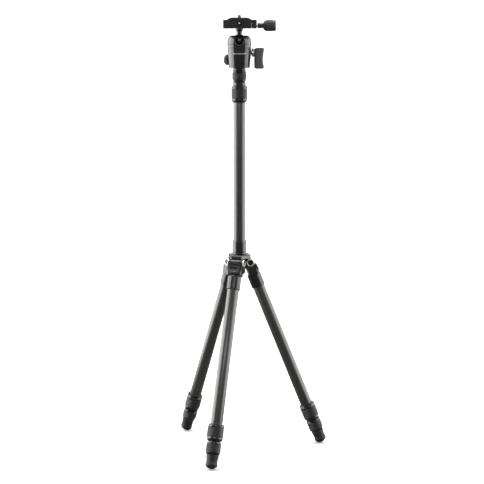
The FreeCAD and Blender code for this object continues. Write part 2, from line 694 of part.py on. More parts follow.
def clamp_body():
    g = DOVETAIL_GAP
    outline = jaw_outline(-1, -CLAMP_X[0])
    outline += [(JAW_SPLIT_X, CLAMP_FLOOR_Z), (JAW_SPLIT_X, CLAMP_Z[0]), (CLAMP_X[0] + 1.0, CLAMP_Z[0])]
    body = prism(outline, Vec(0, 2 * CLAMP_HALF_Y, 0), Vec(0, -CLAMP_HALF_Y, 0))
    body = body.makeFillet(CLAMP_CORNER_R, end_edges(body, CLAMP_X[0]))
    lift = BALL_Z + BOSS_TOP
    body = body.cut(rod(CLAMP_BOLT_R + RUN_GAP, lift - 1, CLAMP_FLOOR_Z + 1))
    body = body.cut(rod(BOLT_HEAD_R + g, BOLT_HEAD_Z[0] - FACE_GAP, CLAMP_FLOOR_Z + 1))
    for y in (-GUIDE_Y, GUIDE_Y):
        body = body.cut(moved(laid_along_x(rod(GUIDE_R, GUIDE_X[0], 40), GUIDE_PIN_Z), 0, y, 0))
    return body.cut(laid_along_x(rod(SCREW_R + RUN_GAP, SCREW_BORE_X, 40), GUIDE_PIN_Z))


def clamp_jaw():
    outline = jaw_outline(1, CLAMP_X[1] - 0.8)
    outline += [(JAW_SPLIT_X + JAW_GAP, CLAMP_FLOOR_Z), (JAW_SPLIT_X + JAW_GAP, CLAMP_Z[0]),
                (CLAMP_X[1] - 1.8, CLAMP_Z[0])]
    body = prism(outline, Vec(0, 2 * CLAMP_HALF_Y, 0), Vec(0, -CLAMP_HALF_Y, 0))
    body = body.makeFillet(CLAMP_CORNER_R, end_edges(body, CLAMP_X[1] - 0.8))
    for y in (-GUIDE_Y, GUIDE_Y):
        hole = laid_along_x(rod(GUIDE_R + RUN_GAP, 10, GUIDE_BORE_END_X), GUIDE_PIN_Z)
        body = body.cut(moved(hole, 0, y, 0))
    return body.cut(laid_along_x(rod(SCREW_R + FACE_GAP, 10, 40), GUIDE_PIN_Z))


def guide_pins():
    pins = []
    for y in (-GUIDE_Y, GUIDE_Y):
        pins.append(moved(laid_along_x(rod(GUIDE_R, GUIDE_X[0], GUIDE_X[1]), GUIDE_PIN_Z), 0, y, 0))
    return pins


def clamp_knob():
    """The clamp's hand knob: a slim neck, a tapered inner side and a ribbed grip."""
    x0, x1 = KNOB_X
    grip = turned([
        (0, x0), (KNOB_NECK_R, x0), (KNOB_NECK_R - 0.5, KNOB_NECK_END_X),
        (KNOB_R - 2.4, KNOB_NECK_END_X + 1.2), (KNOB_R, KNOB_GRIP_X), (KNOB_R, x1 - 5.2),
        (KNOB_R - 0.6, x1 - 4.8), (KNOB_R, x1 - 4.4), (KNOB_R, x1 - 2.4), (KNOB_R - 2.4, x1), (0, x1),
    ])
    grip = fluted(grip, KNOB_R, KNOB_FLUTES, 0.8, KNOB_GRIP_X, x1 - 5.4)
    grip = grip.cut(rod(SCREW_R, x0 - 1, x0 + SCREW_IN_KNOB))
    return laid_along_x(grip, GUIDE_PIN_Z)


def level_bezel():
    y0, y1 = LEVEL_Y
    shell = ring(LEVEL_R, LEVEL_WINDOW_R, y0, y1)
    return moved(laid_along_y(shell), 0, 0, LEVEL_Z)


def level_vial():
    y0, y1 = LEVEL_Y
    vial = turned([
        (0, y0 + 0.5), (2.4, y0 + 0.6), (LEVEL_WINDOW_R, y0 + 1.2), (LEVEL_WINDOW_R, y1), (0, y1),
    ])
    return moved(laid_along_y(vial), 0, 0, LEVEL_Z)


def quick_release_plate():
    top = PLATE_TOP_Z
    half = [
        (PLATE_BASE_HALF, CLAMP_FLOOR_Z + 0.3), (PLATE_BASE_HALF, RAIL_TOP_Z - RAIL_RISE),
        (PLATE_NECK_HALF, RAIL_TOP_Z), (PLATE_NECK_HALF, CLAMP_Z[1] + 0.3),
        (PLATE_FLANGE_HALF, CLAMP_Z[1] + 0.3), (PLATE_FLANGE_HALF - 0.6, CLAMP_Z[1] + 1.2),
        (PLATE_TOP_HALF, top),
    ]
    outline = half + [(-x, z) for x, z in reversed(half)]
    body = prism(outline, Vec(0, 2 * PLATE_HALF_Y, 0), Vec(0, -PLATE_HALF_Y, 0))
    body = body.cut(rod(STUD_R + FACE_GAP, CLAMP_FLOOR_Z, top + 1))
    return body.cut(rod(SCREW_HEAD_R + FACE_GAP, CLAMP_FLOOR_Z, SCREW_HEAD_Z[1] + FACE_GAP))


def plate_pads():
    """Two strips of rubber on the plate, one each side of the stud."""
    pads = []
    for side in (-1, 1):
        y0, y1 = sorted((side * 5.0, side * 17.0))
        pads.append(rounded_block(-15.0, 15.0, y0, y1, PLATE_TOP_Z, PAD_TOP_Z, 2.0))
    return pads


def camera_screw():
    z0, z1 = SCREW_HEAD_Z
    stud = turned([
        (0, z0), (SCREW_HEAD_R, z0), (SCREW_HEAD_R, z1), (SCREW_NECK_R, z1),
        (SCREW_NECK_R, STUD_BASE_Z), (STUD_R, STUD_BASE_Z),
        (STUD_R, STUD_TOP_Z - 0.6), (STUD_R - 0.6, STUD_TOP_Z), (0, STUD_TOP_Z),
    ])
    return stud.cut(block(-SCREW_HEAD_R, SCREW_HEAD_R, -0.6, 0.6, z0 - 1, z0 + 1.4))


keep("clamp_body", clamp_body())
keep("clamp_jaw", clamp_jaw())
keep("clamp_guide_pins", guide_pins())
keep("clamp_knob", clamp_knob())
keep("clamp_screw", laid_along_x(rod(SCREW_R, SCREW_START_X, KNOB_X[0] + SCREW_IN_KNOB), GUIDE_PIN_Z))
keep("level_bezel", level_bezel())
keep("level_vial", level_vial())
keep("quick_release_plate", quick_release_plate())
keep("plate_pads", plate_pads())
keep("camera_screw", camera_screw())


# ---- write one STEP per node --------------------------------------------------------------------

os.makedirs("parts", exist_ok=True)
for name, shapes in PARTS.items():
    node = shapes[0] if len(shapes) == 1 else Part.makeCompound(shapes)
    node.exportStep(os.path.join("parts", name + ".step"))
    volume = sum(s.Volume for s in shapes)
    solids = sum(len(s.Solids) for s in shapes)
    print(f"{name}: {solids} solid(s), {volume:.0f} mm3, valid {node.isValid()}")
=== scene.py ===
import json
import math

import bmesh
import bpy
import numpy as np
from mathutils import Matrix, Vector


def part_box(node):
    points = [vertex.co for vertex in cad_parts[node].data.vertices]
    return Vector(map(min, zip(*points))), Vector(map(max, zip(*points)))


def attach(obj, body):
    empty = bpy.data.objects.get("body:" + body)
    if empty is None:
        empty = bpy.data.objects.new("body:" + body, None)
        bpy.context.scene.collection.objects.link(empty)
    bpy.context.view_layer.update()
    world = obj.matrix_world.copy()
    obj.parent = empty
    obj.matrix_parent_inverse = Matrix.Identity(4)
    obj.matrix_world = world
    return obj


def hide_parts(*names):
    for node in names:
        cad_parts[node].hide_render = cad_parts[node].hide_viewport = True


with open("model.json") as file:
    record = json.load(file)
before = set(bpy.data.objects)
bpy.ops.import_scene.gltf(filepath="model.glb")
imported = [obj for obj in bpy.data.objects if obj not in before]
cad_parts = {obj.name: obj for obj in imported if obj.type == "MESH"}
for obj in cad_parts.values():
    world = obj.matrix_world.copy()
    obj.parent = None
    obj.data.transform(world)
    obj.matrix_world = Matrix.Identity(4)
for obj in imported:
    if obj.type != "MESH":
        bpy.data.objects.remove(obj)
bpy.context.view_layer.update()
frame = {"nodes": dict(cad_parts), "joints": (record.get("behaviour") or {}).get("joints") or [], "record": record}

mm = 0.001
fullTurn = 2 * math.pi
joints = {j["name"]: j for j in frame["joints"]}
nodes = frame["nodes"]
legNames = ["leg_front", "leg_left", "leg_right"]
print("frame loaded:", len(nodes), "nodes")


def linearColour(hexText):
    # sRGB hex to the linear values that the shaders want
    parts = [int(hexText[i:i + 2], 16) / 255 for i in (1, 3, 5)]
    return [c / 12.92 if c <= 0.04045 else ((c + 0.055) / 1.055) ** 2.4 for c in parts] + [1.0]


def addNode(tree, kind, settings=None, links=None):
    # one node with its settings (properties by name, sockets by index or name) and its incoming links
    node = tree.nodes.new(kind)
    for key, value in (settings or {}).items():
        if isinstance(key, int) or key in node.inputs:
            node.inputs[key].default_value = value
        else:
            setattr(node, key, value)
    for key, source in (links or {}).items():
        tree.links.new(source, node.inputs[key])
    return node


def newMaterial(name, hexText, **sockets):
    # one Principled material; an underscore in a keyword stands for the space in the socket's name
    material = bpy.data.materials.new(name)
    material.use_nodes = True
    tree = material.node_tree
    shader = tree.nodes["Principled BSDF"]
    shader.inputs["Base Color"].default_value = linearColour(hexText)
    for key, value in sockets.items():
        shader.inputs[key.replace("_", " ")].default_value = value
    return material, tree, shader


def mixedColour(tree, shader, factor, darkHex, lightHex):
    # the base colour runs from dark to light with the factor
    mix = addNode(tree, "ShaderNodeMix", {"data_type": "RGBA"})
    mix.inputs["A"].default_value = linearColour(darkHex)
    mix.inputs["B"].default_value = linearColour(lightHex)
    tree.links.new(factor, mix.inputs["Factor"])
    tree.links.new(mix.outputs["Result"], shader.inputs["Base Color"])


def addGrain(tree, shader, sizeMm, heightMm, roughRange=None, detail=3.0, stretch=(1, 1, 1)):
    # a noise in object space: one cell is sizeMm across, and it lifts the surface by heightMm
    coords = addNode(tree, "ShaderNodeTexCoord")
    place = addNode(tree, "ShaderNodeMapping", {"Scale": stretch}, {"Vector": coords.outputs["Object"]})
    noise = addNode(tree, "ShaderNodeTexNoise", {"Scale": 1 / (sizeMm * mm), "Detail": detail},
                    {"Vector": place.outputs["Vector"]})
    bump = addNode(tree, "ShaderNodeBump", {"Distance": heightMm * mm, "Strength": 1.0},
                   {"Height": noise.outputs["Fac"]})
    tree.links.new(bump.outputs["Normal"], shader.inputs["Normal"])
    if roughRange:
        spread = addNode(tree, "ShaderNodeMapRange", {"To Min": roughRange[0], "To Max": roughRange[1]},
                         {"Value": noise.outputs["Fac"]})
        tree.links.new(spread.outputs["Result"], shader.inputs["Roughness"])
    return noise


# finishes, each named for what the real one is, save the two whose names say they carry a painted highlight
anodised = {"dark": "#0d0d0e", "light": "#151516", "gritMm": 0.35, "rough": (0.20, 0.30)}


def anodisedAluminium():
    # bead-blasted and black anodised: a satin skin whose wide highlights break up into fine grit
    material, tree, shader = newMaterial("blackAnodisedAluminium", anodised["dark"], Coat_Weight=0.6,
                                         Coat_Roughness=0.10)
    noise = addGrain(tree, shader, sizeMm=anodised["gritMm"], heightMm=0.004, roughRange=anodised["rough"])
    mixedColour(tree, shader, noise.outputs["Fac"], anodised["dark"], anodised["light"])
    return material


enamel = {"dark": "#101011", "light": "#1b1b1c", "peelMm": 0.9, "rough": (0.22, 0.36)}


def castEnamel():
    # die-cast magnesium under black enamel: a soft orange peel that makes the highlights swim
    material, tree, shader = newMaterial("castBlackEnamel", enamel["dark"], IOR=1.7, Coat_Weight=0.5,
                                         Coat_Roughness=0.14)
    noise = addGrain(tree, shader, sizeMm=enamel["peelMm"], heightMm=0.012, roughRange=enamel["rough"])
    mixedColour(tree, shader, noise.outputs["Fac"], enamel["dark"], enamel["light"])
    return material


carbon = {"dark": "#141413", "light": "#302f2c", "towMm": 1.6, "lacquerRough": 0.24,
          "overShare": 0.55, "hairShare": 0.45, "reliefMm": 0.03}


def carbonFibre():
    # 2/2 twill under clear lacquer. Tows are 1.6 mm wide, a little coarser than the real 1 mm so that
    # the diagonal shows. A tow is over or under by its column minus its row, counted in fours.
    material, tree, shader = newMaterial("lacqueredCarbonTwill", carbon["dark"], Roughness=0.42,
                                         Coat_Weight=1.0, Coat_Roughness=carbon["lacquerRough"])
    wound = addNode(tree, "ShaderNodeUVMap", {"uv_map": "woundMm"})
    split = addNode(tree, "ShaderNodeSeparateXYZ", None, {"Vector": wound.outputs["UV"]})
    cells = []
    for axisName in ("X", "Y"):
        count = addNode(tree, "ShaderNodeMath", {"operation": "DIVIDE", 1: carbon["towMm"]},
                        {0: split.outputs[axisName]})
        cells.append(addNode(tree, "ShaderNodeMath", {"operation": "FLOOR"}, {0: count.outputs[0]}))
    step = addNode(tree, "ShaderNodeMath", {"operation": "SUBTRACT"},
                   {0: cells[0].outputs[0], 1: cells[1].outputs[0]})
    fours = addNode(tree, "ShaderNodeMath", {"operation": "FLOORED_MODULO", 1: 4.0}, {0: step.outputs[0]})
    over = addNode(tree, "ShaderNodeMath", {"operation": "LESS_THAN", 1: 2.0}, {0: fours.outputs[0]})
    # filaments: noise drawn out along the tube inside each tow
    drawn = addNode(tree, "ShaderNodeMapping", {"Scale": (6.0, 0.5, 1.0)}, {"Vector": wound.outputs["UV"]})
    hairs = addNode(tree, "ShaderNodeTexNoise", {"Scale": 1.0, "Detail": 2.0},
                    {"Vector": drawn.outputs["Vector"]})
    blend = addNode(tree, "ShaderNodeMath", {"operation": "MULTIPLY_ADD", 1: carbon["overShare"]},
                    {0: over.outputs[0]})
    soft = addNode(tree, "ShaderNodeMath", {"operation": "MULTIPLY", 1: carbon["hairShare"]},
                   {0: hairs.outputs["Fac"]})
    tree.links.new(soft.outputs[0], blend.inputs[2])
    mixedColour(tree, shader, blend.outputs[0], carbon["dark"], carbon["light"])
    bump = addNode(tree, "ShaderNodeBump", {"Distance": carbon["reliefMm"] * mm, "Strength": 0.6},
                   {"Height": blend.outputs[0]})
    tree.links.new(bump.outputs["Normal"], shader.inputs["Normal"])
    return material


def gripRubber():
    # moulded nitrile on the twist locks: dull, a little dusty on the high spots
    material, tree, shader = newMaterial("mouldedGripRubber", "#151515", Sheen_Weight=0.05)
    noise = addGrain(tree, shader, sizeMm=0.5, heightMm=0.02, roughRange=(0.30, 0.44))
    mixedColour(tree, shader, noise.outputs["Fac"], "#0f0f0f", "#1d1d1c")
    return material


def footRubber():
    # hard black rubber: matt, with moulding bloom
    material, tree, shader = newMaterial("hardFootRubber", "#131313")
    noise = addGrain(tree, shader, sizeMm=0.8, heightMm=0.03, roughRange=(0.45, 0.65))
    mixedColour(tree, shader, noise.outputs["Fac"], "#0e0e0e", "#1a1a1a")
    return material


def knobNylon():
    # glass-filled nylon from a spark-eroded mould: pebbled, with a dry grey sheen
    material, tree, shader = newMaterial("sparkTexturedNylon", "#3c3c3b")
    noise = addGrain(tree, shader, sizeMm=0.6, heightMm=0.05, roughRange=(0.45, 0.62), detail=5.0)
    mixedColour(tree, shader, noise.outputs["Fac"], "#343433", "#4d4d4b")
    return material


def lacqueredKnob():
    # the clamp's turned knob: black lacquer on aluminium, glossy enough for a light band along its top
    material, tree, shader = newMaterial("blackKnobLacquer", "#121212", Coat_Weight=0.8,
                                         Coat_Roughness=0.08)
    addGrain(tree, shader, sizeMm=0.8, heightMm=0.006, roughRange=(0.18, 0.30))
    return material


def satinEnamel():
    # the same black enamel as on the head, rubbed down to a satin on the leg yokes
    material, tree, shader = newMaterial("satinBlackEnamel", "#131313", Coat_Weight=0.4,
                                         Coat_Roughness=0.14)
    noise = addGrain(tree, shader, sizeMm=enamel["peelMm"], heightMm=0.012, roughRange=(0.24, 0.34))
    mixedColour(tree, shader, noise.outputs["Fac"], "#0f0f10", "#1a1a1a")
    return material


def gunmetal():
    # bead-blasted grey metal of the angle latches: mid grey face on, bright along its bevels
    material, tree, shader = newMaterial("gunmetalLatch", "#5f5f5c", Metallic=1.0)
    addGrain(tree, shader, sizeMm=0.4, heightMm=0.006, roughRange=(0.26, 0.38))
    return material


def darkSteel():
    # the camera stud: browned steel, greyer than the other screws
    material, tree, shader = newMaterial("brownedSteelStud", "#6c6b69", Metallic=1.0)
    addGrain(tree, shader, sizeMm=0.4, heightMm=0.004, roughRange=(0.24, 0.36))
    return material


def silverBarWithPaintedHighlight():
    # the latch's finger bar: silver, but given a near-white colour that is mostly matt, so it is pale from every
    # side, not a mirror; the paleness is a painted highlight standing in for the light the bar reflects
    material, tree, shader = newMaterial("silverBarPaintedHighlight", "#e4e4e2", Metallic=0.25)
    addGrain(tree, shader, sizeMm=0.4, heightMm=0.004, roughRange=(0.28, 0.38))
    return material


def paintedGlintBubble():
    # the level's bubble, coloured pale as a painted glint: the one pale spot on the clamp
    return newMaterial("levelBubblePaintedGlint", "#e9eee0", Roughness=0.12, Coat_Weight=1.0, Coat_Roughness=0.02)[0]


def brightSteel():
    # turned and polished stainless steel: bright, with faint tool marks
    material, tree, shader = newMaterial("turnedStainless", "#d2d1cd", Metallic=1.0)
    addGrain(tree, shader, sizeMm=0.5, heightMm=0.004, roughRange=(0.14, 0.30), stretch=(1, 1, 5))
    return material


def brushedSilver():
    # the head's accent strip: fine brushing that draws one thin bright line across the dark housing
    material, tree, shader = newMaterial("brushedSilverStrip", "#e2e2e0", Metallic=1.0)
    addGrain(tree, shader, sizeMm=0.4, heightMm=0.003, roughRange=(0.22, 0.34), stretch=(0.2, 0.2, 6))
    return material


def polishedBall():
    # hard anodised, lapped ball: near black and mirror smooth
    material, tree, shader = newMaterial("lappedBlackBall", "#101011", Coat_Weight=1.0, Coat_Roughness=0.03)
    addGrain(tree, shader, sizeMm=2.5, heightMm=0.001, roughRange=(0.10, 0.16))
    return material


def acetal():
    # natural acetal of the bushes and shims: milky white, with a little light going in
    material, tree, shader = newMaterial("naturalAcetal", "#d9d6cc", Subsurface_Weight=0.08)
    addGrain(tree, shader, sizeMm=1.2, heightMm=0.006, roughRange=(0.3, 0.42))
    return material


def levelAcrylic():
    # tinted clear acrylic over the vial: lets light in and glints
    material, tree, shader = newMaterial("tintedVialAcrylic", "#1c1e19", Transmission_Weight=0.3, IOR=1.49)
    addGrain(tree, shader, sizeMm=3.0, heightMm=0.001, roughRange=(0.03, 0.06))
    return material


pad = {"squareMm": 1.5, "reliefMm": 0.2}


def padRubber():
    # cork-filled rubber pad with a moulded square grip, 1.5 mm from square to square
    material, tree, shader = newMaterial("ribbedPadRubber", "#2c2c2b")
    coords = addNode(tree, "ShaderNodeTexCoord")
    grid = addNode(tree, "ShaderNodeTexChecker", {"Scale": 1 / (pad["squareMm"] * mm)},
                   {"Vector": coords.outputs["Object"]})
    noise = addGrain(tree, shader, sizeMm=0.6, heightMm=0.03, roughRange=(0.55, 0.75))
    mixedColour(tree, shader, noise.outputs["Fac"], "#222221", "#3a3937")
    bump = addNode(tree, "ShaderNodeBump", {"Distance": pad["reliefMm"] * mm},
                   {"Height": grid.outputs["Fac"]})
    tree.links.new(bump.outputs["Normal"], shader.inputs["Normal"])
    return material


finishes = {
    "black_anodised": anodisedAluminium(), "black_cast": castEnamel(), "carbon_tube": carbonFibre(),
    "bright_steel": brightSteel(), "grip_rubber": gripRubber(), "foot_rubber": footRubber(),
    "knob_plastic": knobNylon(), "bearing_plastic": acetal(), "accent_silver": brushedSilver(),
    "level_glass": levelAcrylic(), "ball_black": polishedBall(),
}
slotOf = {s["node"]: s["material_slot"] for s in frame["record"]["subparts"]}
bodyOf = {n: b for b, members in frame["record"]["behaviour"]["bodies"].items() for n in members}
for nodeName, nodeObject in nodes.items():
    nodeObject.data.materials.clear()
    nodeObject.data.materials.append(finishes[slotOf[nodeName]])
nodes["plate_pads"].data.materials[0] = padRubber()
print("finishes made:", len(finishes) + 1)


def legAxes(legName):
    # the hinge, and the leg's outward, sideways and upward directions, read from its joints
    hinge = np.array(joints[legName + "_hinge"]["pos_m"], float)
    pin = np.array(joints[legName + "_hinge"]["axis"], float)
    down = np.array(joints[legName + "_section_1_slide"]["axis"], float)
    return hinge, np.stack([np.cross(pin, down), -pin, -down])


# where a turned piece stands and its three local directions, the turning axis third
upright = (np.zeros(3), np.eye(3))
alongX = (np.array([0.0, 0.0, joints["clamp_knob_turn"]["pos_m"][2]]),
          np.array([[0.0, 1, 0], [0, 0, 1], [1, 0, 0]]))


def nodePoints(nodeName, axes):
    # a CAD node's points in the local directions of axes
    co = np.zeros(len(nodes[nodeName].data.vertices) * 3, np.float32)
    nodes[nodeName].data.vertices.foreach_get("co", co)
    return (co.reshape(-1, 3) - axes[0]) @ axes[1].T


def turnedSize(nodeName, axes):
    # how a turned node lies on its axis: lowest and highest place, inner and outer radius, in mm
    local = nodePoints(nodeName, axes) / mm
    radius = np.hypot(local[:, 0], local[:, 1])
    return local[:, 2].min(), local[:, 2].max(), radius.min(), radius.max()


def roundCorners(points, radius, steps=4, closed=True):
    # each corner of an outline becomes a curve that starts and ends radius away from it along both sides
    points = np.array(points, float)
    out = []
    count = len(points)
    for i in range(count):
        here = points[i]
        if not closed and i in (0, count - 1):
            out.append(here[None])
            continue
        before, after = points[i - 1] - here, points[(i + 1) % count] - here
        reach = min(radius, 0.45 * np.linalg.norm(before), 0.45 * np.linalg.norm(after))
        a = here + before / np.linalg.norm(before) * reach
        b = here + after / np.linalg.norm(after) * reach
        t = np.linspace(0, 1, steps + 1)[:, None]
        out.append((1 - t) ** 2 * a + 2 * t * (1 - t) * here + t ** 2 * b)
    return np.concatenate(out)


def subdivide(profile, longestMm, closed=True):
    # puts points along an outline's long sides so that a ripple has something to move
    out = []
    count = len(profile)
    for i in range(count if closed else count - 1):
        a, b = profile[i], profile[(i + 1) % count]
        n = max(1, int(math.ceil(np.linalg.norm(b - a) / longestMm)))
        out.append(a + (b - a) * (np.arange(n) / n)[:, None])
    if not closed:
        out.append(profile[-1][None])
    return np.concatenate(out)


def lathe(name, profile, axes, body, slot, stands=(), segments=96, ripple=None, woundUv=False,
          sharpDeg=35.0, material=None):
    # A surface of revolution: point (angle, step) lies at radius r(step) plus ripple, at height z(step).
    # The profile is a closed outline of (radius, z) in mm, so the surface closes on itself both ways.
    # Where the outline lies on the axis the ring there is welded into one pole.
    profile = np.array(profile, float)
    rows = len(profile)
    angle = np.arange(segments) / segments * fullTurn
    radius = np.repeat(profile[:, :1], segments, axis=1)
    height = np.repeat(profile[:, 1:], segments, axis=1)
    if ripple is not None:
        radius = radius + ripple(angle[None, :], radius, height)
    local = np.stack([radius * np.cos(angle), radius * np.sin(angle), height], -1).reshape(-1, 3)
    points = local * mm @ axes[1] + axes[0]
    i, j = np.meshgrid(np.arange(rows), np.arange(segments), indexing="ij")
    nextI, nextJ = (i + 1) % rows, (j + 1) % segments
    quads = np.stack([i * segments + j, i * segments + nextJ, nextI * segments + nextJ,
                      nextI * segments + j], -1).reshape(-1, 4)
    mesh = bpy.data.meshes.new(name)
    mesh.from_pydata(points.tolist(), [], quads.tolist())
    if woundUv:
        # UV in mm: across is the distance round the tube, up is the distance along it
        layer = mesh.uv_layers.new(name="woundMm")
        across = np.stack([j, j + 1, j + 1, j], -1) / segments * fullTurn * profile[:, 0].max()
        travel = np.concatenate([[0], np.cumsum(np.linalg.norm(np.diff(profile, axis=0), axis=1))])
        upRows = np.append(travel, travel[-1] + np.linalg.norm(profile[0] - profile[-1]))
        up = np.stack([upRows[i], upRows[i], upRows[i + 1], upRows[i + 1]], -1)
        layer.data.foreach_set("uv", np.stack([across, up], -1).reshape(-1).astype(np.float32))
    work = bmesh.new()
    work.from_mesh(mesh)
    bmesh.ops.remove_doubles(work, verts=work.verts, dist=1e-7)
    bmesh.ops.recalc_face_normals(work, faces=work.faces)
    work.to_mesh(mesh)
    work.free()
    mesh.shade_smooth()
    mesh.set_sharp_from_angle(angle=math.radians(sharpDeg))
    return addPiece(name, mesh, body, slot, stands, material)


def addPiece(name, mesh, body, slot, stands=(), material=None):
    # a visual piece that rides one body and stands in for the CAD nodes named in stands
    piece = bpy.data.objects.new(name, mesh)
    bpy.context.scene.collection.objects.link(piece)
    if not mesh.materials:
        mesh.materials.append(material or finishes[slot])
    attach(piece, body)
    if stands:
        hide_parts(*stands)
    return piece


def loft(name, points, rows, columns, body, slot, material=None, stands=()):
    # a skin over rows of points, each row a closed ring; end rows shrunk to a point become poles
    i, j = np.meshgrid(np.arange(rows - 1), np.arange(columns), indexing="ij")
    nextJ = (j + 1) % columns
    quads = np.stack([i * columns + j, i * columns + nextJ, (i + 1) * columns + nextJ,
                      (i + 1) * columns + j], -1)
    mesh = bpy.data.meshes.new(name)
    mesh.from_pydata(points.tolist(), [], quads.reshape(-1, 4).tolist())
    work = bmesh.new()
    work.from_mesh(mesh)
    bmesh.ops.remove_doubles(work, verts=work.verts, dist=1e-6)
    bmesh.ops.holes_fill(work, edges=work.edges)
    bmesh.ops.recalc_face_normals(work, faces=work.faces)
    work.to_mesh(mesh)
    work.free()
    mesh.shade_smooth()
    return addPiece(name, mesh, body, slot, stands, material)


edgeStyle = {"segments": 2, "angleDeg": 32, "flatDeg": 0.6}


def softened(nodeName, widthMm=0.3):
    # a copy of a CAD node with its flat faces made whole and its hard edges broken, as machined edges are
    mesh = nodes[nodeName].data.copy()
    mesh.name = nodeName + "Edged"
    work = bmesh.new()
    work.from_mesh(mesh)
    bmesh.ops.remove_doubles(work, verts=work.verts, dist=2e-6)
    bmesh.ops.dissolve_limit(work, angle_limit=math.radians(edgeStyle["flatDeg"]), verts=work.verts,
                             edges=work.edges)
    work.to_mesh(mesh)
    work.free()
    mesh.shade_smooth()
    piece = addPiece(nodeName + "Edged", mesh, bodyOf[nodeName], slotOf[nodeName], [nodeName])
    bevel = piece.modifiers.new("brokenEdges", "BEVEL")
    bevel.width = widthMm * mm
    bevel.segments = edgeStyle["segments"]
    bevel.limit_method = "ANGLE"
    bevel.angle_limit = math.radians(edgeStyle["angleDeg"])
    bevel.use_clamp_overlap = True
    weighted = piece.modifiers.new("flatFaces", "WEIGHTED_NORMAL")
    weighted.keep_sharp = True
    return piece


tubeStyle = {"segments": 72, "edgeMm": 0.25}


def carbonTube(nodeName, axes):
    # a plain tube: the outline is its wall's rectangle with eased corners
    low, high, inner, outer = turnedSize(nodeName, axes)
    wall = roundCorners([(inner, low), (outer, low), (outer, high), (inner, high)], tubeStyle["edgeMm"], 2)
    lathe(nodeName + "Wound", wall, axes, bodyOf[nodeName], "carbon_tube", [nodeName],
          tubeStyle["segments"], woundUv=True)


for legName in legNames:
    for part in ("tube_upper", "tube_middle", "tube_lower"):
        carbonTube(legName + "_" + part, legAxes(legName))
for part in ("column_tube_lower", "column_tube_middle", "column_tube_upper"):
    carbonTube(part, upright)
print("tubes wound")


lockStyle = {"ribs": 12, "ribMm": 1.15, "twistTurns": 0.18, "twistOverMm": 10, "grooveMm": 1.4,
             "gripFrom": 0.27, "gripTo": 0.20, "gripMm": 0.75, "segments": 96}


def twistLock(nodeName, axes, taperMm):
    # A nut turned from bottom to top: tapered tail, bright bevel, rubber grip, bevel and a rim.
    # The grip's ribs lean: rib height is a rounded wave of (angle - lean * height), and a ring groove
    # splits the grip in two.
    low, high, inner, outer = turnedSize(nodeName, axes)
    core = outer - lockStyle["gripMm"]
    gripLow = low + lockStyle["gripFrom"] * (high - low)
    gripHigh = high - lockStyle["gripTo"] * (high - low)
    shell = roundCorners([
        (inner, low), (core - taperMm, low), (core + 0.2, low + 4.4), (core + 0.2, gripLow - 0.8),
        (core - 1.3, gripLow - 0.3), (core - 1.3, gripHigh + 0.3), (core + 0.2, gripHigh + 0.8),
        (core + 0.2, high - 2.9), (core - 0.6, high - 2.3), (core - 0.6, high - 1.9),
        (core + 0.1, high - 1.4), (core - 0.5, high), (inner, high),
    ], 0.35, 3)
    lathe(nodeName + "Nut", shell, axes, bodyOf[nodeName], "black_anodised", [nodeName],
          lockStyle["segments"])

    middle, halfGroove, skin = (gripLow + gripHigh) / 2, lockStyle["grooveMm"] / 2, outer - 0.15
    band = roundCorners([
        (core - 1.6, gripLow), (skin, gripLow), (skin, middle - halfGroove), (core + 0.1, middle - 0.3),
        (core + 0.1, middle + 0.3), (skin, middle + halfGroove), (skin, gripHigh), (core - 1.6, gripHigh),
    ], 0.5, 3)
    band = subdivide(band, 0.7)

    def leaningRibs(angle, radius, height):
        lean = lockStyle["twistTurns"] * fullTurn * (height - gripLow) / lockStyle["twistOverMm"]
        phase = lockStyle["ribs"] * (angle - lean)
        wave = 0.5 + 0.5 * np.cos(phase)
        outside = np.clip((radius - (outer - 0.9)) / 0.6, 0, 1)
        return -lockStyle["ribMm"] * outside * (1 - wave ** 0.6)

    lathe(nodeName + "Grip", band, axes, bodyOf[nodeName], "grip_rubber", (), lockStyle["ribs"] * 16,
          leaningRibs, sharpDeg=60)


for legName in legNames:
    twistLock(legName + "_lock_upper", legAxes(legName), 3.4)
    twistLock(legName + "_lock_lower", legAxes(legName), 2.0)
twistLock("column_lock_lower", upright, 1.6)
twistLock("column_lock_upper", upright, 1.6)
print("twist locks made")


footStyle = {"grooves": 5, "grooveMm": 0.35, "bandFromMm": 10.0, "bandMm": 8.0, "segments": 72}


def rubberFoot(legName):
    # A waisted sleeve with a blunt rounded tread. Near the tread the wall carries fine ring grooves,
    # a wave of the distance along the leg.
    axes = legAxes(legName)
    nodeName = legName + "_foot"
    low, high, _, outer = turnedSize(nodeName, axes)
    tread = outer - 0.5
    outline = roundCorners([
        (0, high), (outer - 0.6, high), (outer, high - 0.8), (outer - 1.0, high - 9.0),
        (outer - 1.0, low + 11.0), (tread, low + 9.0), (tread, low + 5.0), (tread - 5.6, low + 0.5),
        (0, low),
    ], 3.2, 8, closed=False)

    def ringGrooves(angle, radius, height):
        along = (height - (low + footStyle["bandFromMm"])) / footStyle["bandMm"]
        inside = np.clip(np.minimum(along, 1 - along) * 8, 0, 1)
        wave = 0.5 - 0.5 * np.cos(along * footStyle["grooves"] * fullTurn)
        return -footStyle["grooveMm"] * inside * wave * (radius > tread - 2.0)

    lathe(nodeName + "Tread", subdivide(outline, 0.6, closed=False), axes, bodyOf[nodeName],
          "foot_rubber", [nodeName], footStyle["segments"], ringGrooves, sharpDeg=50)


for legName in legNames:
    rubberFoot(legName)
print("feet made")


clampKnobStyle = {"ribs": 28, "ribMm": 0.7, "ringMm": 0.7}
panKnobStyle = {"ribs": 26, "ribMm": 0.6}


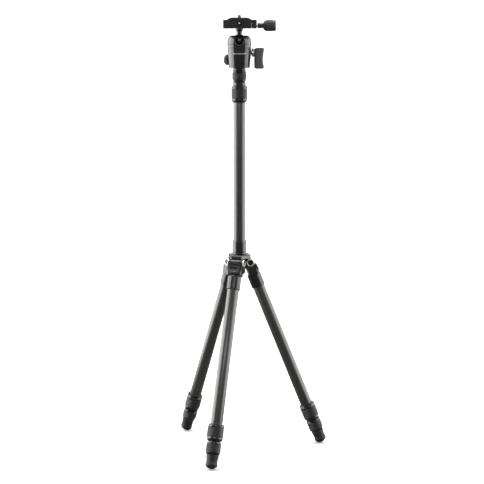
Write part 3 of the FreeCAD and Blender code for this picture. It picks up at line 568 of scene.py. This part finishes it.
def ribbedKnob(name, nodeName, axes, outline, ribs, ribMm, ribLow, ribHigh, material=None):
    # a turned knob whose grip has round-topped ribs: radius falls by a sharpened cosine of the angle
    outer = max(p[0] for p in outline)
    profile = subdivide(roundCorners(outline, 0.8, 4), 0.9)

    def straightRibs(angle, radius, height):
        onGrip = np.clip(np.minimum(height - ribLow, ribHigh - height) / 0.6, 0, 1)
        outside = np.clip((radius - outer + 1.4) / 0.8, 0, 1)
        return -ribMm * onGrip * outside * (0.5 - 0.5 * np.cos(ribs * angle)) ** 2

    lathe(name, profile, axes, bodyOf[nodeName], slotOf[nodeName], [nodeName], ribs * 9, straightRibs,
          sharpDeg=55, material=material)


low, high, _, outer = turnedSize("clamp_knob", alongX)
ribbedKnob("clampHandKnob", "clamp_knob", alongX, [
    (2.4, low), (5.3, low), (4.8, low + 10.2), (outer - 2.4, low + 11.4), (outer, low + 16.1),
    (outer, high - 5.6), (outer - clampKnobStyle["ringMm"], high - 5.2),
    (outer - clampKnobStyle["ringMm"], high - 4.6), (outer, high - 4.2), (outer, high - 2.4),
    (outer - 2.4, high), (4.0, high), (3.4, high - 0.7), (2.4, high - 0.7),
], clampKnobStyle["ribs"], clampKnobStyle["ribMm"], low + 16.0, high - 5.8, lacqueredKnob())

# the pan lock points out sideways: its own axis third
panAxis = np.array(joints["pan_lock_turn"]["axis"], float)
panSide = np.array([-panAxis[1], panAxis[0], 0.0])
panAxes = (np.array([0, 0, joints["pan_lock_turn"]["pos_m"][2]]),
           np.stack([panSide, np.array([0.0, 0, 1]), panAxis]))
low, high, _, outer = turnedSize("pan_lock_knob", panAxes)
ribbedKnob("panHandKnob", "pan_lock_knob", panAxes, [
    (1.0, low), (outer - 1.4, low), (outer, low + 1.4), (outer, high - 1.2), (outer - 1.3, high),
    (4.2, high), (3.4, high - 0.8), (1.0, high - 0.8),
], panKnobStyle["ribs"], panKnobStyle["ribMm"], low + 0.4, high - 0.4)
print("knobs made")


paddleStyle = {"roundTop": 5.0, "roundTip": 4.0, "power": 3.2, "waistMm": 2.6,
               "halfTipMm": 6.8, "columns": 64}


def paddleKnob():
    # Stacked sections up the paddle. Each is a superellipse in (across, thickness); the half width falls
    # from boss to tip, the outer side is hollowed by a cosine of the height, and both ends close along
    # a quarter ellipse to a single pole.
    lowCorner, highCorner = [np.array(c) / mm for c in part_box("ball_lock_knob")]
    x0, x1 = lowCorner[0], highCorner[0]
    low, high = lowCorner[2], highCorner[2]
    halfTop, halfTip = (highCorner[1] - lowCorner[1]) / 2, paddleStyle["halfTipMm"]
    lowEnd = low + paddleStyle["roundTip"] * (1 - np.cos(np.linspace(0, 0.5, 12) * math.pi))
    highEnd = high - paddleStyle["roundTop"] * (1 - np.cos(np.linspace(0.5, 0, 12) * math.pi))
    z = np.concatenate([lowEnd, np.linspace(lowEnd[-1], highEnd[0], 30)[1:-1], highEnd])
    share = (z - low) / (high - low)
    closing = np.minimum(
        np.sqrt(np.clip(1 - (1 - np.clip((z - low) / paddleStyle["roundTip"], 0, 1)) ** 2, 0, 1)),
        np.sqrt(np.clip(1 - (1 - np.clip((high - z) / paddleStyle["roundTop"], 0, 1)) ** 2, 0, 1)))
    halfWide = (halfTip + (halfTop - halfTip) * np.clip(share * 1.25, 0, 1)) * closing
    hollow = paddleStyle["waistMm"] * np.clip(np.sin(np.clip((0.92 - share) / 0.85, 0, 1) * math.pi), 0, 1)
    inner = x0 + 1.0 * (1 - closing)
    outer = x1 - hollow - 1.2 * (share < 0.5) * (0.5 - share)
    centre, halfThick = (inner + outer) / 2, (outer - inner) / 2
    halfThick = halfThick * (0.55 + 0.45 * closing) * (closing > 0)
    angle = np.arange(paddleStyle["columns"]) / paddleStyle["columns"] * fullTurn
    power = 2 / paddleStyle["power"]
    cosine, sine = np.cos(angle), np.sin(angle)
    acrossUnit = np.sign(sine) * np.abs(sine) ** power
    thickUnit = np.sign(cosine) * np.abs(cosine) ** power
    x = centre[:, None] + halfThick[:, None] * thickUnit
    y = halfWide[:, None] * acrossUnit
    points = np.stack([x, y, np.broadcast_to(z[:, None], x.shape)], -1).reshape(-1, 3) * mm
    loft("paddleKnobMoulded", points, len(z), paddleStyle["columns"], "ball_lock", "knob_plastic",
         stands=["ball_lock_knob"])


paddleKnob()
print("paddle made")


# the column's turned rings, each a closed outline read upward from its lower inner edge
ringStyle = {"segments": 96}

low, high, inner, outer = turnedSize("column_collar", upright)
lathe("collarTurned", roundCorners([
    (inner, low), (outer - 0.5, low), (outer, low + 0.6), (outer, low + 3.4), (outer - 0.8, low + 4.0),
    (outer - 0.8, low + 4.6), (outer - 0.15, low + 5.1), (outer - 0.15, high - 2.6), (outer - 1.9, high),
    (inner, high),
], 0.4, 4), upright, "collar", "black_anodised", ["column_collar"], ringStyle["segments"])

low, high, inner, outer = turnedSize("column_ferrule", upright)
lathe("ferruleTurned", roundCorners([
    (inner, low), (outer - 0.3, low), (outer, low + 0.8), (outer, high - 0.9), (outer - 0.6, high),
    (inner, high),
], 0.3, 4), upright, "column_middle", "black_anodised", ["column_ferrule"], ringStyle["segments"])

low, high, inner, outer = turnedSize("head_platform", upright)
lathe("platformTurned", roundCorners([
    (inner, low), (outer - 0.9, low), (outer, low + 1.0), (outer, high - 1.2), (outer - 0.7, high),
    (inner, high),
], 0.3, 4), upright, "column_upper", "black_anodised", ["head_platform"], ringStyle["segments"])
print("column rings turned")


capStyle = {"outerMm": 7.8, "faceMm": 15.8, "backMm": 13.55, "wellMm": 1.3, "wellRadiusMm": 5.0,
            "socketMm": 2.4, "axisMm": 0.05}


def hingeCaps(legName, side):
    # a bright turned ring with a dark plug sunk in its well; side is +1 or -1 along the hinge pin
    hinge, directions = legAxes(legName)
    across = directions[1] * side
    up = directions[2]
    axes = (hinge, np.stack([np.cross(up, across), up, across]))
    outer, face, back = capStyle["outerMm"], capStyle["faceMm"], capStyle["backMm"]
    well, floor = capStyle["wellRadiusMm"], face - capStyle["wellMm"]
    socket, centre = capStyle["socketMm"], capStyle["axisMm"]
    sideName = "Right" if side > 0 else "Left"
    lathe(f"{legName}_hingeCap{sideName}", roundCorners([
        (well - 1.0, back), (outer, back), (outer, face - 0.9), (outer - 1.0, face), (well + 0.5, face),
        (well, face - 0.4), (well, floor), (well - 1.0, floor),
    ], 0.25, 3), axes, "crown", "bright_steel", ["hinge_caps"], 64)
    plug = subdivide(roundCorners([
        (centre, back), (well - 0.1, back), (well - 0.1, floor + 0.5), (well - 1.0, floor + 0.7),
        (socket + 0.1, floor + 0.7), (socket, floor - 0.3), (centre, floor - 0.3),
    ], 0.15, 2), 0.4)

    def hexagon(angle, radius, height):
        # the socket's radius follows a hexagon: the flat's distance over the cosine off its middle
        off = (angle + math.pi / 6) % (math.pi / 3) - math.pi / 6
        onSocket = (radius > socket - 0.1) & (radius < socket + 0.2)
        return np.where(onSocket, radius * (1 / np.cos(off) - 1), 0)

    lathe(f"{legName}_capPlug{sideName}", plug, axes, "crown", "black_anodised", (), 48, hexagon)


rimStyle = {"boreMm": 7.9, "beadMm": 0.5, "sinkMm": 0.45, "steps": 49, "sides": 12}


def notchRim():
    # the machined lip round the lower half of the stem's notch: a fine bead that runs along the curve
    # where the notch's bore meets the housing, x and z on the bore's circle and y on the housing's
    outer = turnedSize("ball_housing", upright)[3]
    centreZ = joints["ball_tilt"]["pos_m"][2] / mm
    bore, bead, steps = rimStyle["boreMm"], rimStyle["beadMm"], rimStyle["steps"]
    turn = np.linspace(math.pi, fullTurn, steps)
    x, z = bore * np.cos(turn), centreZ + bore * np.sin(turn)
    out = -np.sqrt((outer - rimStyle["sinkMm"]) ** 2 - x ** 2)
    path = np.stack([x, out, z], -1)
    outward = np.stack([x, out, 0 * z], -1)
    outward /= np.linalg.norm(outward, axis=1)[:, None]
    along = np.gradient(path, axis=0)
    sideways = np.cross(along, outward)
    sideways /= np.linalg.norm(sideways, axis=1)[:, None]
    angle = (np.arange(rimStyle["sides"]) / rimStyle["sides"] * fullTurn)[None, :, None]
    closing = np.sqrt(np.clip(1 - np.linspace(-1, 1, steps) ** 16, 0, 1))
    offset = outward[:, None] * np.cos(angle) + sideways[:, None] * np.sin(angle)
    points = (path[:, None] + bead * closing[:, None, None] * offset).reshape(-1, 3) * mm
    loft("notchRim", points, steps, rimStyle["sides"], "head", "black_cast", gunmetal())


lipStyle = {"halfMm": 8.0, "steps": 25, "slotHalfMm": 7.8, "slotFromMm": -13.4, "slotToMm": -8.8}
# the finger bar's near-white colour is a painted highlight
barPaintedHighlightFinish = silverBarWithPaintedHighlight()


def latchLip(legName):
    # The finger bar, pale from a painted highlight in its colour: its section is a wedge whose sloping face looks
    # 25 degrees up from the latch, swept sideways and drawn together at both ends. The dark slot above it is a
    # shallow rounded tray.
    axes = legAxes(legName)
    wedge = roundCorners([(10.9, -18.0), (12.0, -18.0), (12.45, -17.4), (11.15, -14.6), (10.9, -14.5)],
                         0.45, 4)
    along = np.linspace(-1, 1, lipStyle["steps"])
    closing = np.sqrt(np.clip(1 - np.abs(along) ** 10, 0, 1))
    middle = wedge.mean(0)
    section = middle + (wedge - middle) * closing[:, None, None]
    y = np.broadcast_to(along[:, None] * lipStyle["halfMm"], section.shape[:2])
    local = np.stack([section[..., 0], y, section[..., 1]], -1).reshape(-1, 3)
    loft(legName + "_latchLip", local * mm @ axes[1] + axes[0], lipStyle["steps"], len(wedge),
         legName + "_latch", "accent_silver", barPaintedHighlightFinish)

    half, slotLow, slotHigh = lipStyle["slotHalfMm"], lipStyle["slotFromMm"], lipStyle["slotToMm"]
    outline = roundCorners([(-half, slotLow), (half, slotLow), (half, slotHigh), (-half, slotHigh)], 1.2, 5)
    heart = outline.mean(0)
    rows = []
    # how far out each ring of the tray lies, and its share of the outline's size
    for depth, share in ((9.9, 0.0), (9.9, 1.0), (10.35, 1.0), (10.35, 0.94), (10.1, 0.90), (10.1, 0.0)):
        ringPoints = heart + (outline - heart) * share
        rows.append(np.column_stack([np.full(len(outline), depth), ringPoints]))
    tray = np.concatenate(rows)
    slotPiece = loft(legName + "_latchSlot", tray * mm @ axes[1] + axes[0], len(rows), len(outline),
                     legName + "_latch", "black_anodised")
    slotPiece.data.set_sharp_from_angle(angle=math.radians(30))


for legName in legNames:
    hingeCaps(legName, 1)
    hingeCaps(legName, -1)
    latchLip(legName)
notchRim()
print("hinge caps, latch lips and notch rim made")


studStyle = {"pitchMm": 1.27, "depthMm": 0.5, "crestMm": 3.175, "threadMm": 5.0, "neckMm": 2.6,
             "headRadiusMm": 6.9, "headMm": 2.9, "segments": 64}


def cameraStud():
    # A 1/4 inch thread: the radius follows a triangle wave of (height / pitch - angle / full turn),
    # fading out at the tip. The screw's head and neck below it stay plain.
    low, high, _, _ = turnedSize("camera_screw", upright)
    crest, neck, head = studStyle["crestMm"], studStyle["neckMm"], studStyle["headRadiusMm"]
    headTop, threadLow = low + studStyle["headMm"], high - studStyle["threadMm"]
    outline = [(0, low), (head, low), (head, headTop), (neck, headTop), (neck, threadLow),
               (crest, threadLow + 0.05), (crest, high - 0.6), (crest - 0.7, high), (0, high)]
    profile = subdivide(np.array(outline), 0.12, closed=False)

    def thread(angle, radius, height):
        turn = height / studStyle["pitchMm"] - angle / fullTurn
        wave = np.abs((turn % 1.0) * 2 - 1)
        onThread = (height > threadLow) * (radius > 2.3)
        return -studStyle["depthMm"] * wave * onThread

    lathe("cameraStudThreaded", profile, upright, "camera_screw", "bright_steel", ["camera_screw"],
          studStyle["segments"], thread, sharpDeg=80, material=darkSteel())


cameraStud()
print("camera stud threaded")


# The level's bubble, a pale dot whose colour is a painted glint, floats a little above the middle of the level,
# which looks toward -Y. Its outline is a flat lens of (radius, height in front of the bezel's face).
bubbleStyle = {"floatMm": 1.2, "segments": 32,
               "outline": [(0.0, -0.55), (1.25, -0.5), (1.1, -0.25), (0.6, -0.1), (0.0, -0.05)]}
levelLow, levelHigh = [np.array(corner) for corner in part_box("level_bezel")]
levelAxes = (np.array([0, levelLow[1], (levelLow[2] + levelHigh[2]) / 2 + bubbleStyle["floatMm"] * mm]),
             np.array([[1.0, 0, 0], [0, 0, 1], [0, -1, 0]]))
lathe("levelBubblePaintedGlint", bubbleStyle["outline"], levelAxes, bodyOf["level_vial"], "level_glass", (),
      bubbleStyle["segments"], material=paintedGlintBubble())
print("level bubble made")


# machined and cast pieces, with their edges broken by these widths in mm
edgeMm = {"yoke": 0.4, "latch": 0.25}
for nodeName in ("ball_housing", "clamp_body", "clamp_jaw", "quick_release_plate",
                 "ball_lock_shaft", "pan_base", "crown"):
    softened(nodeName)
latchFinish, yokeFinish = gunmetal(), satinEnamel()
for legName in legNames:
    softened(legName + "_yoke", edgeMm["yoke"]).data.materials[0] = yokeFinish
    softened(legName + "_latch", edgeMm["latch"]).data.materials[0] = latchFinish
print("edges broken")


sweepStyle = {"half": 6.0, "bendAt": 2.5, "bendDeep": 2.5, "bendHigh": 3.5}


def stageFloor():
    # a pale sweep: a flat floor that turns up into a back wall, its height a quarter ellipse of y
    half, bendAt = sweepStyle["half"], sweepStyle["bendAt"]
    x = np.linspace(-half, half, 3)
    y = np.concatenate([np.linspace(-half, bendAt, 4), np.linspace(bendAt + 0.1, 5.0, 24)])
    rise = np.clip((y - bendAt) / sweepStyle["bendDeep"], 0, 1)
    z = sweepStyle["bendHigh"] * (1 - np.sqrt(1 - rise ** 2))
    gridX, gridY = np.meshgrid(x, y, indexing="ij")
    gridZ = np.broadcast_to(z, gridX.shape)
    points = np.stack([gridX, gridY, gridZ], -1).reshape(-1, 3)
    i, j = np.meshgrid(np.arange(len(x) - 1), np.arange(len(y) - 1), indexing="ij")
    n = len(y)
    quads = np.stack([i * n + j, (i + 1) * n + j, (i + 1) * n + j + 1, i * n + j + 1], -1).reshape(-1, 4)
    mesh = bpy.data.meshes.new("studioSweep")
    mesh.from_pydata(points.tolist(), [], quads.tolist())
    mesh.shade_smooth()
    mesh.materials.append(newMaterial("paleSweepPaint", "#f2f2f1", Roughness=0.9)[0])
    sweep = bpy.data.objects.new("studioSweep", mesh)
    bpy.context.scene.collection.objects.link(sweep)
    sweep.visible_glossy = False    # the tripod mirrors the studio's air and boxes, not the white sweep


def softbox(name, place, target, size, power):
    # a white rectangular light at place, turned to face target
    light = bpy.data.lights.new(name, "AREA")
    light.shape = "RECTANGLE"
    light.size, light.size_y = size
    light.energy = power
    lamp = bpy.data.objects.new(name, light)
    bpy.context.scene.collection.objects.link(lamp)
    lamp.location = place
    lamp.visible_camera = False
    lamp.rotation_euler = (Vector(target) - Vector(place)).to_track_quat("-Z", "Y").to_euler()


stageFloor()
# two wide boxes beside the tripod give its tubes a broad pale band down each side, the left one brighter
softbox("boxLeft", (-1.6, 0.15, 0.8), (0, 0, 0.7), (2.2, 2.3), 72)
softbox("boxRight", (1.6, 0.15, 0.8), (0, 0, 0.7), (2.2, 2.3), 46)
# one overhead for the tops of the knobs and the plate, one high in front for the ball and the levels
softbox("overhead", (0, 0.3, 2.3), (0, 0, 0.5), (2.0, 1.4), 30)
softbox("highFront", (0, -2.2, 1.42), (0, 0, 0.77), (1.4, 0.2), 7)
softbox("sweepWash", (0, 1.4, 2.6), (0, 3.4, 1.0), (4.0, 1.0), 150)


airStyle = {"cameraSide": 0.22, "behind": 0.55, "belowShare": 0.4}


def studioAir():
    # the room's light: pale grey behind the tripod, falling to dark grey on the camera's side as a
    # straight ramp of the direction's share along Y, and dimmed below the floor's level
    air = bpy.data.worlds.new("studioAir")
    air.use_nodes = True
    tree = air.node_tree
    coords = addNode(tree, "ShaderNodeTexCoord")
    split = addNode(tree, "ShaderNodeSeparateXYZ", None, {"Vector": coords.outputs["Generated"]})
    ramp = addNode(tree, "ShaderNodeMapRange",
                   {"From Min": -0.6, "From Max": 0.6, "To Min": airStyle["cameraSide"],
                    "To Max": airStyle["behind"]}, {"Value": split.outputs["Y"]})
    dim = addNode(tree, "ShaderNodeMapRange",
                  {"From Min": -0.4, "From Max": 0.05, "To Min": airStyle["belowShare"], "To Max": 1.0},
                  {"Value": split.outputs["Z"]})
    level = addNode(tree, "ShaderNodeMath", {"operation": "MULTIPLY"},
                    {0: ramp.outputs["Result"], 1: dim.outputs["Result"]})
    tree.links.new(level.outputs[0], tree.nodes["Background"].inputs["Strength"])
    tree.nodes["Background"].inputs["Color"].default_value = linearColour("#ffffff")
    bpy.context.scene.world = air


studioAir()
bpy.context.scene.view_settings.view_transform = "Standard"
print("floor, lights and air made")


cameraStyle = {"back": 3.0, "height": 0.859, "pitchDeg": 8.77, "yawDeg": 0.094, "lensMm": 120.35}
cameraData = bpy.data.cameras.new("studioCamera")
cameraData.lens = cameraStyle["lensMm"]
cameraData.sensor_width = 36.0
cameraData.clip_end = 50.0
camera = bpy.data.objects.new("studioCamera", cameraData)
bpy.context.scene.collection.objects.link(camera)
camera.location = (0, -cameraStyle["back"], cameraStyle["height"])
camera.rotation_euler = (math.radians(90 - cameraStyle["pitchDeg"]), 0,
                         math.radians(-cameraStyle["yawDeg"]))
bpy.context.scene.camera = camera
